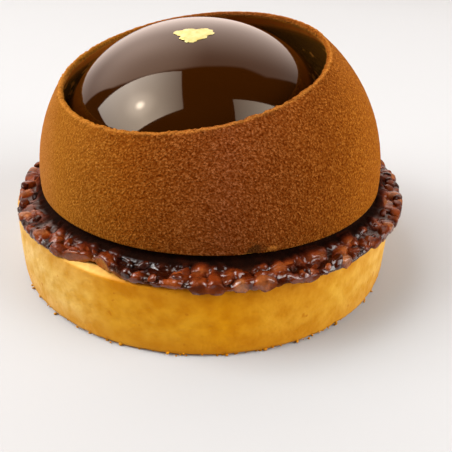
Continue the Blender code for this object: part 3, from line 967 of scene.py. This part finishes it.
def crunchMaterial():
    material, tree, shader = newMaterial("glazedNuts", crunch["finish"])
    place = objectPlace(tree)
    smears, wrinkle, skins = (patches(tree, place, *crunch[name]) for name in ("smears", "wrinkle", "skins"))
    tint, amber, shade, calm = (readShade(tree, name) for name in ("tint", "amber", "shade", "calm"))
    base = mixColours(tree, smears, colourRamp(tree, tint, crunch["tones"]), crunch["smearTone"], "MULTIPLY")
    base = mixColours(tree, amber, base, crunch["amberTone"])
    rough = mapRange(tree, shade, 0.35, 1.0, *crunch["roughness"])
    sides = mapRange(tree, calm, 0.25, 0.9, 1.0, crunch["calmShare"])
    coat = combine(tree, "MULTIPLY", skins, mapRange(tree, shade, 0.15, 0.6, 0.0, crunch["coat"]))
    coat = combine(tree, "MULTIPLY", coat, sides)
    normal = bumpFrom(tree, combine(tree, "MULTIPLY", wrinkle, sides), *crunch["wrinkleBump"])
    fillSockets(tree, shader, {"Base Color": base, "Roughness": rough, "Coat Weight": coat,
                               "Normal": normal})
    return material


glazedLook = crunchMaterial()
makeGlazeLayer(glazedLook)
makeChoppedNuts(glazedLook)


crumbs = {
    "seed": 41,
    "count": 110,
    "arc": (-150.0, 25.0),              # directions in which they lie
    "length": (0.3 * mm, 0.8 * mm),
    "width": (0.6, 0.95),
    "flatness": (0.5, 0.9),
    "out": (-0.75 * mm, 0.10 * mm),     # from the wall's widest radius
}


def makeCrumbs(material):
    # crumbs of the crust at its foot, most against the wall, some stuck just above the foot
    draw = np.random.default_rng(crumbs["seed"])
    count = crumbs["count"]
    shapes, length, faces = cutChunks(draw, crumbs, 1)
    angle = np.radians(draw.uniform(*crumbs["arc"], count))
    out = draw.uniform(*crumbs["out"], count)
    height = 0.25 * length + 0.9 * mm * draw.random(count) ** 2 * (out > -0.4 * mm)
    radius = crust["radius"] + out
    verts = shapes + turnedSurface(radius, height, angle, crust["centreX"])[:, None, :]
    verts[..., 2] = np.maximum(verts[..., 2], 0.0)
    return meshPiece("crustCrumbs", insideBox(verts), [faces], "pastry_base", material)


makeCrumbs(crustLook)
print("crunch ready")


# Velvet bowl

bowl = {
    "centre": np.array([0.1, 0.0, 19.97]) * mm,
    "radius": 35.86 * mm,
    "squash": 0.965,
    "foot": 18.7 * mm,
    "wall": 1.1 * mm,
    # the mouth is a slanted plane: its lean and direction in radians, distance from the centre
    "mouthTilt": 0.205,
    "mouthDirection": -2.335,
    "mouthDistance": 23.59 * mm,
    "columns": 700,
    "outerRows": 106,
    "lipRows": 9,
    "innerRows": 24,
    # relief: its height, then the size, seed and layers of its noise
    "grainHeight": 0.034 * mm,
    "grains": (0.75 * mm, 61),
    "broadHeight": 0.04 * mm,
    "broadNoise": (7.0 * mm, 67, 2),
    "lipRough": 0.40 * mm,
    "lipNoise": (0.55 * mm, 71),
    "markNoise": (0.7 * mm, 73, 2),
    # marks by the foot: direction in degrees, height, half width and half height
    "smear": (-76.0, 19.5 * mm, 1.5 * mm, 1.05 * mm),
    "flake": (-70.9, 19.5 * mm, 0.9 * mm, 0.50 * mm),
    "chipDepth": 0.18 * mm,
    "lipGlow": 0.30,                    # bright edge along the lip
    "finish": {"Roughness": 0.95, "Specular IOR Level": 0.05, "Specular Tint": (1.0, 0.45, 0.05, 1.0),
               "Sheen Weight": 0.32, "Sheen Roughness": 0.38, "Sheen Tint": (1.0, 0.40, 0.05, 1.0)},
    "grainScale": 2700.0,
    "grainBump": (0.9, 0.16 * mm),      # strength and distance
    # shares of the fuzz and of the grain in the velvet's tone
    "fuzzShare": 0.72,
    "grainShare": 0.30,
    "grainTones": ((0.05, (0.205, 0.044, 0.002)), (0.50, (0.390, 0.137, 0.033)),
                   (0.95, (0.710, 0.337, 0.150))),
    # painted light, from left to right
    "paintedLightTones": ((0.0, (0.96, 1.0, 1.0)), (0.12, (0.71, 0.70, 0.24)), (0.32, (0.51, 0.37, 0.12)),
                   (0.55, (0.405, 0.27, 0.21)), (0.80, (0.50, 0.345, 0.11)), (1.0, (0.94, 0.76, 0.17))),
    # painted light and shade on the inner wall, from the lip down
    "innerLightAndShade": ((0.2, (0.96, 0.245, 0.026)), (0.54, (0.94, 0.215, 0.018)), (0.76, (0.200, 0.050, 0.006)),
                  (1.0, (0.022, 0.007, 0.001))),
    # patches: scale, detail and the two limits of their noise
    "fuzz": (2500.0, 1.5, 0.30, 0.70),
    "fuzzBump": (0.5, 0.06 * mm),
    "broad": (90.0, 3.0, 0.25, 0.75),
    "broadTone": (0.86, 0.83, 0.82),
    "flecks": (300.0, 2.0, 0.63, 0.68),
    "fleckTone": (0.70, 0.240, 0.040),
    "smearTone": (0.060, 0.017, 0.004),
    "brightTone": (0.720, 0.290, 0.050),
}


def mouthRise(angle):
    # latitude where the meridian of the ball meets the slanted plane of the mouth
    lean = math.sin(bowl["mouthTilt"])
    flat = lean * np.cos(angle - bowl["mouthDirection"])
    upright = math.cos(bowl["mouthTilt"]) * bowl["squash"]
    span = np.hypot(flat, upright)
    return np.arctan2(upright, flat) - np.arccos(bowl["mouthDistance"] / (bowl["radius"] * span))


def ballPoint(angle, rise, inward):
    # point on the flattened ball at a latitude, moved inwards along the ball's normal
    out = np.stack([np.cos(rise) * np.cos(angle), np.cos(rise) * np.sin(angle), np.sin(rise)], axis=-1)
    stretch = np.array([1.0, 1.0, bowl["squash"]])
    normal = out / stretch
    normal = normal / np.linalg.norm(normal, axis=-1, keepdims=True)
    return bowl["centre"] + bowl["radius"] * out * stretch - inward[..., None] * normal


def markAt(points, angle, mark):
    # a soft ragged spot, 1 in its middle
    direction, height, halfWidth, halfHeight = mark
    across = angleFrom(angle, math.radians(direction)) * bowl["radius"] / halfWidth
    away = np.hypot(across, (points[..., 2] - height) / halfHeight)
    return smoothStep(1.35, 0.45, away + 0.8 * layeredNoise(points, *bowl["markNoise"]))


def makeBowl(material):
    # up the outside by latitude, round the lip on half a circle and down the inside, pushed along
    # the normals by grains, broad noise, the lip's bumps and the two marks
    angle = roundAngles(bowl["columns"])
    half = bowl["wall"] / 2.0
    footRise = np.arcsin((bowl["foot"] + 0.15 * mm - bowl["centre"][2]) / (bowl["radius"] * bowl["squash"]))
    lipRise = mouthRise(angle) - half / bowl["radius"]
    outer = np.linspace(0.0, 1.0, bowl["outerRows"])[:, None]
    turn = np.linspace(0.0, math.pi, bowl["lipRows"] + 2)[1:-1, None]
    innerShare = np.linspace(1.0, 0.0, bowl["innerRows"])[:, None]
    rise = np.vstack([footRise + (lipRise - footRise) * outer,
                      lipRise + np.sin(turn) * half / bowl["radius"],
                      footRise + (lipRise - footRise) * innerShare])
    inward = np.vstack([0.0 * outer, half * (1.0 - np.cos(turn)), bowl["wall"] + 0.0 * innerShare])
    points = ballPoint(angle, rise, inward * np.ones_like(angle))
    normal = gridNormals(points)
    # grains: 1 less the distance to the nearest seed point, scaled by that point's random number
    nearest, draw = pebbles(points, *bowl["grains"])
    grains = (1.0 - nearest) * (0.7 + 0.6 * draw) - 0.4
    broad = layeredNoise(points, *bowl["broadNoise"]) * bowl["broadHeight"]
    atLip = np.exp(-((rise - lipRise) / 0.02) ** 2)
    # rougher in front than at the back
    lipBumps = bowl["lipRough"] * (0.55 - 0.45 * np.sin(angle)) * softNoise(points, *bowl["lipNoise"])
    smear, flake = (markAt(points, angle, bowl[mark]) * (inward < half) for mark in ("smear", "flake"))
    push = bowl["grainHeight"] * grains + broad + atLip * lipBumps
    push = push + bowl["chipDepth"] * (0.7 * flake - smear)
    points = points + normal * push[..., None]
    points[..., 2] = np.maximum(points[..., 2], bowl["foot"])
    rows, columns = points.shape[:2]
    # how far down the inner wall each row lies, which sets its painted light and shade
    depth = (lipRise - footRise) * (1.0 - innerShare) * bowl["radius"]
    inside = np.zeros((rows, columns))
    inside[-bowl["innerRows"]:] = 0.2 + 0.8 * smoothStep(0.0, 7.0 * mm, depth)
    bright = np.maximum(bowl["lipGlow"] * np.exp(-((rise - lipRise - 0.004) / 0.007) ** 2), 0.25 * flake)
    return meshPiece("velvetBowl", points, [ringFaces(rows, columns, True)], "velvet_bowl",
                     material, {"inside": inside, "smear": smear, "bright": bright})


def velvetMaterial():
    material, tree, shader = newMaterial("cocoaVelvet", bowl["finish"])
    place = objectPlace(tree)
    parts = partsOf(tree, place)
    fuzz, broad, flecks = (patches(tree, place, *bowl[name]) for name in ("fuzz", "broad", "flecks"))
    fine = grain(tree, place, bowl["grainScale"])
    mixed = {0: fuzz, 1: bowl["fuzzShare"], 2: combine(tree, "MULTIPLY", fine, bowl["grainShare"])}
    mixed = addNode(tree, "ShaderNodeMath", mixed, operation="MULTIPLY_ADD").outputs[0]
    base = colourRamp(tree, mixed, bowl["grainTones"])
    # a softer grain towards the left
    calm = mapRange(tree, parts["X"], -34.0 * mm, -8.0 * mm, 0.65, 0.0)
    base = mixColours(tree, calm, base, bowl["grainTones"][1][1])
    base = tinted(tree, base, broad, bowl["broadTone"])
    # painted light: paler towards the left, where the light falls, and less so towards the right
    sideLight = colourRamp(tree, mapRange(tree, parts["X"], -36.0 * mm, 36.0 * mm), bowl["paintedLightTones"])
    base = mixColours(tree, 1.0, base, sideLight, "MULTIPLY")
    base = mixColours(tree, readShade(tree, "smear"), base, bowl["smearTone"])
    # painted light and shade on the inner wall: orange light under the lip and dark shade further down, with
    # a few sprayed flecks
    inside = readShade(tree, "inside")
    wall = mixColours(tree, flecks, colourRamp(tree, inside, bowl["innerLightAndShade"]), bowl["fleckTone"])
    base = mixColours(tree, mapRange(tree, inside, 0.02, 0.2), base, wall)
    base = mixColours(tree, readShade(tree, "bright"), base, bowl["brightTone"])
    normal = bumpFrom(tree, fine, *bowl["grainBump"], bumpFrom(tree, fuzz, *bowl["fuzzBump"]))
    fillSockets(tree, shader, {"Base Color": base, "Normal": normal})
    return material


makeBowl(velvetMaterial())
print("velvet bowl ready")


# Glazed dome

dome = {
    "centre": np.array([-1.7, 0.0, 25.3]) * mm,
    "radius": 29.0 * mm,
    "squash": 0.85,
    "base": 18.7 * mm,
    "columns": 288,
    "rows": 110,
    "flow": 0.012 * mm,                 # how far the set glaze strays from a true dome
    "flowNoise": (9.0 * mm, 83),
    "finish": {"IOR": 1.45, "Specular Tint": (1.0, 0.82, 0.62, 1.0)},
    # patches: scale, detail and the two limits of their noise, and what they run between
    "depth": (60.0, 2.0, 0.30, 0.70),
    "tones": ((0.020, 0.0044, 0.0001), (0.023, 0.0052, 0.0002)),
    "roughness": (0.035, 0.06),
}


def domeHeight(x, y):
    across = np.hypot(x - dome["centre"][0], y - dome["centre"][1]) / dome["radius"]
    return dome["centre"][2] + dome["radius"] * dome["squash"] * np.sqrt(1.0 - np.minimum(across, 1.0) ** 2)


def makeDome(material):
    # latitudes of a flattened ball from its base up to the pole, with a faint flow in the glaze
    middle, upright = dome["centre"][2], dome["radius"] * dome["squash"]
    low = math.asin((dome["base"] - middle) / upright)
    rise = np.linspace(low, math.radians(89.3), dome["rows"])[:, None]
    angle = roundAngles(dome["columns"])
    height = middle + upright * np.sin(rise) + 0.0 * angle
    points = turnedSurface(dome["radius"] * np.cos(rise), height, angle, dome["centre"][0])
    points = points + gridNormals(points) * (dome["flow"] * softNoise(points, *dome["flowNoise"]))[..., None]
    points[0, :, 2] = dome["base"]
    verts, faces = closedGrid(points, [dome["centre"][0], 0.0, dome["base"]],
                              [dome["centre"][0], 0.0, middle + upright])
    return meshPiece("mirrorDome", verts, faces, "glazed_dome", material)


def glazeMaterial():
    material, tree, shader = newMaterial("mirrorGlaze", dome["finish"])
    depth = patches(tree, objectPlace(tree), *dome["depth"])
    rough = mapRange(tree, depth, 0.0, 1.0, *dome["roughness"])
    fillSockets(tree, shader, {"Base Color": mixColours(tree, depth, *dome["tones"]), "Roughness": rough})
    return material


makeDome(glazeMaterial())
print("glazed dome ready")


# Gold leaf

leaf = {
    "centre": (-3.1 * mm, -7.4 * mm),
    "length": 8.0 * mm,
    "width": 5.8 * mm,
    "turn": math.radians(8.0),
    "lift": 0.10 * mm,
    "crinkle": 0.10 * mm,
    "foldNoise": (1.6 * mm, 95, 3),
    "thickness": 0.03 * mm,
    "rings": 26,
    "columns": 180,
    "finish": {"Metallic": 0.75, "Roughness": 0.42},
    # patches: scale, detail and the two limits of their noise, and what they run between
    "creases": (900.0, 4.0, 0.3, 0.7),
    "creaseBump": (0.5, 0.10 * mm),
    "tones": ((0.54, 0.46, 0.13), (0.70, 0.64, 0.30)),
}


def leafReach(angle):
    # torn outline: two slow waves for the shape and noise round the edge for the tears
    edge = np.stack([np.cos(angle), np.sin(angle), 0.0 * angle], axis=-1)
    torn = 0.10 * softNoise(edge, 0.22, 91) + 0.05 * softNoise(edge, 0.07, 92)
    return 0.84 + 0.16 * np.sin(3.0 * angle + 0.5) + 0.10 * np.sin(7.0 * angle + 2.0) * 0.6 + torn


def makeLeaf(material):
    # rings from the torn outline in to the middle, laid on the dome with folds of layered noise;
    # a lower skin closes it
    angle = roundAngles(leaf["columns"])
    share = np.linspace(1.0, 0.02, leaf["rings"])[:, None]
    reach = leafReach(angle) * share
    along, over = reach * np.cos(angle) * leaf["length"] / 2.0, reach * np.sin(angle) * leaf["width"] / 2.0
    middleX, middleY = leaf["centre"]
    x = middleX + along * math.cos(leaf["turn"]) - over * math.sin(leaf["turn"])
    y = middleY + along * math.sin(leaf["turn"]) + over * math.cos(leaf["turn"])
    folds = layeredNoise(np.stack([x, y, 0.0 * x], axis=-1), *leaf["foldNoise"])
    z = domeHeight(x, y) + leaf["lift"] + leaf["crinkle"] * folds
    upper = np.stack([x, y, z], axis=-1)
    lower = (upper - np.array([0.0, 0.0, leaf["thickness"]]))[::-1]
    height = z[-1].mean()
    verts, faces = closedGrid(np.concatenate([lower, upper]), [middleX, middleY, height - leaf["thickness"]],
                              [middleX, middleY, height])
    return meshPiece("goldFlake", verts, faces, "gold_leaf", material)


def goldMaterial():
    material, tree, shader = newMaterial("goldLeaf", leaf["finish"])
    creases = patches(tree, objectPlace(tree), *leaf["creases"])
    normal = bumpFrom(tree, creases, *leaf["creaseBump"])
    fillSockets(tree, shader, {"Base Color": mixColours(tree, creases, *leaf["tones"]), "Normal": normal})
    return material


makeLeaf(goldMaterial())
print("gold leaf ready")
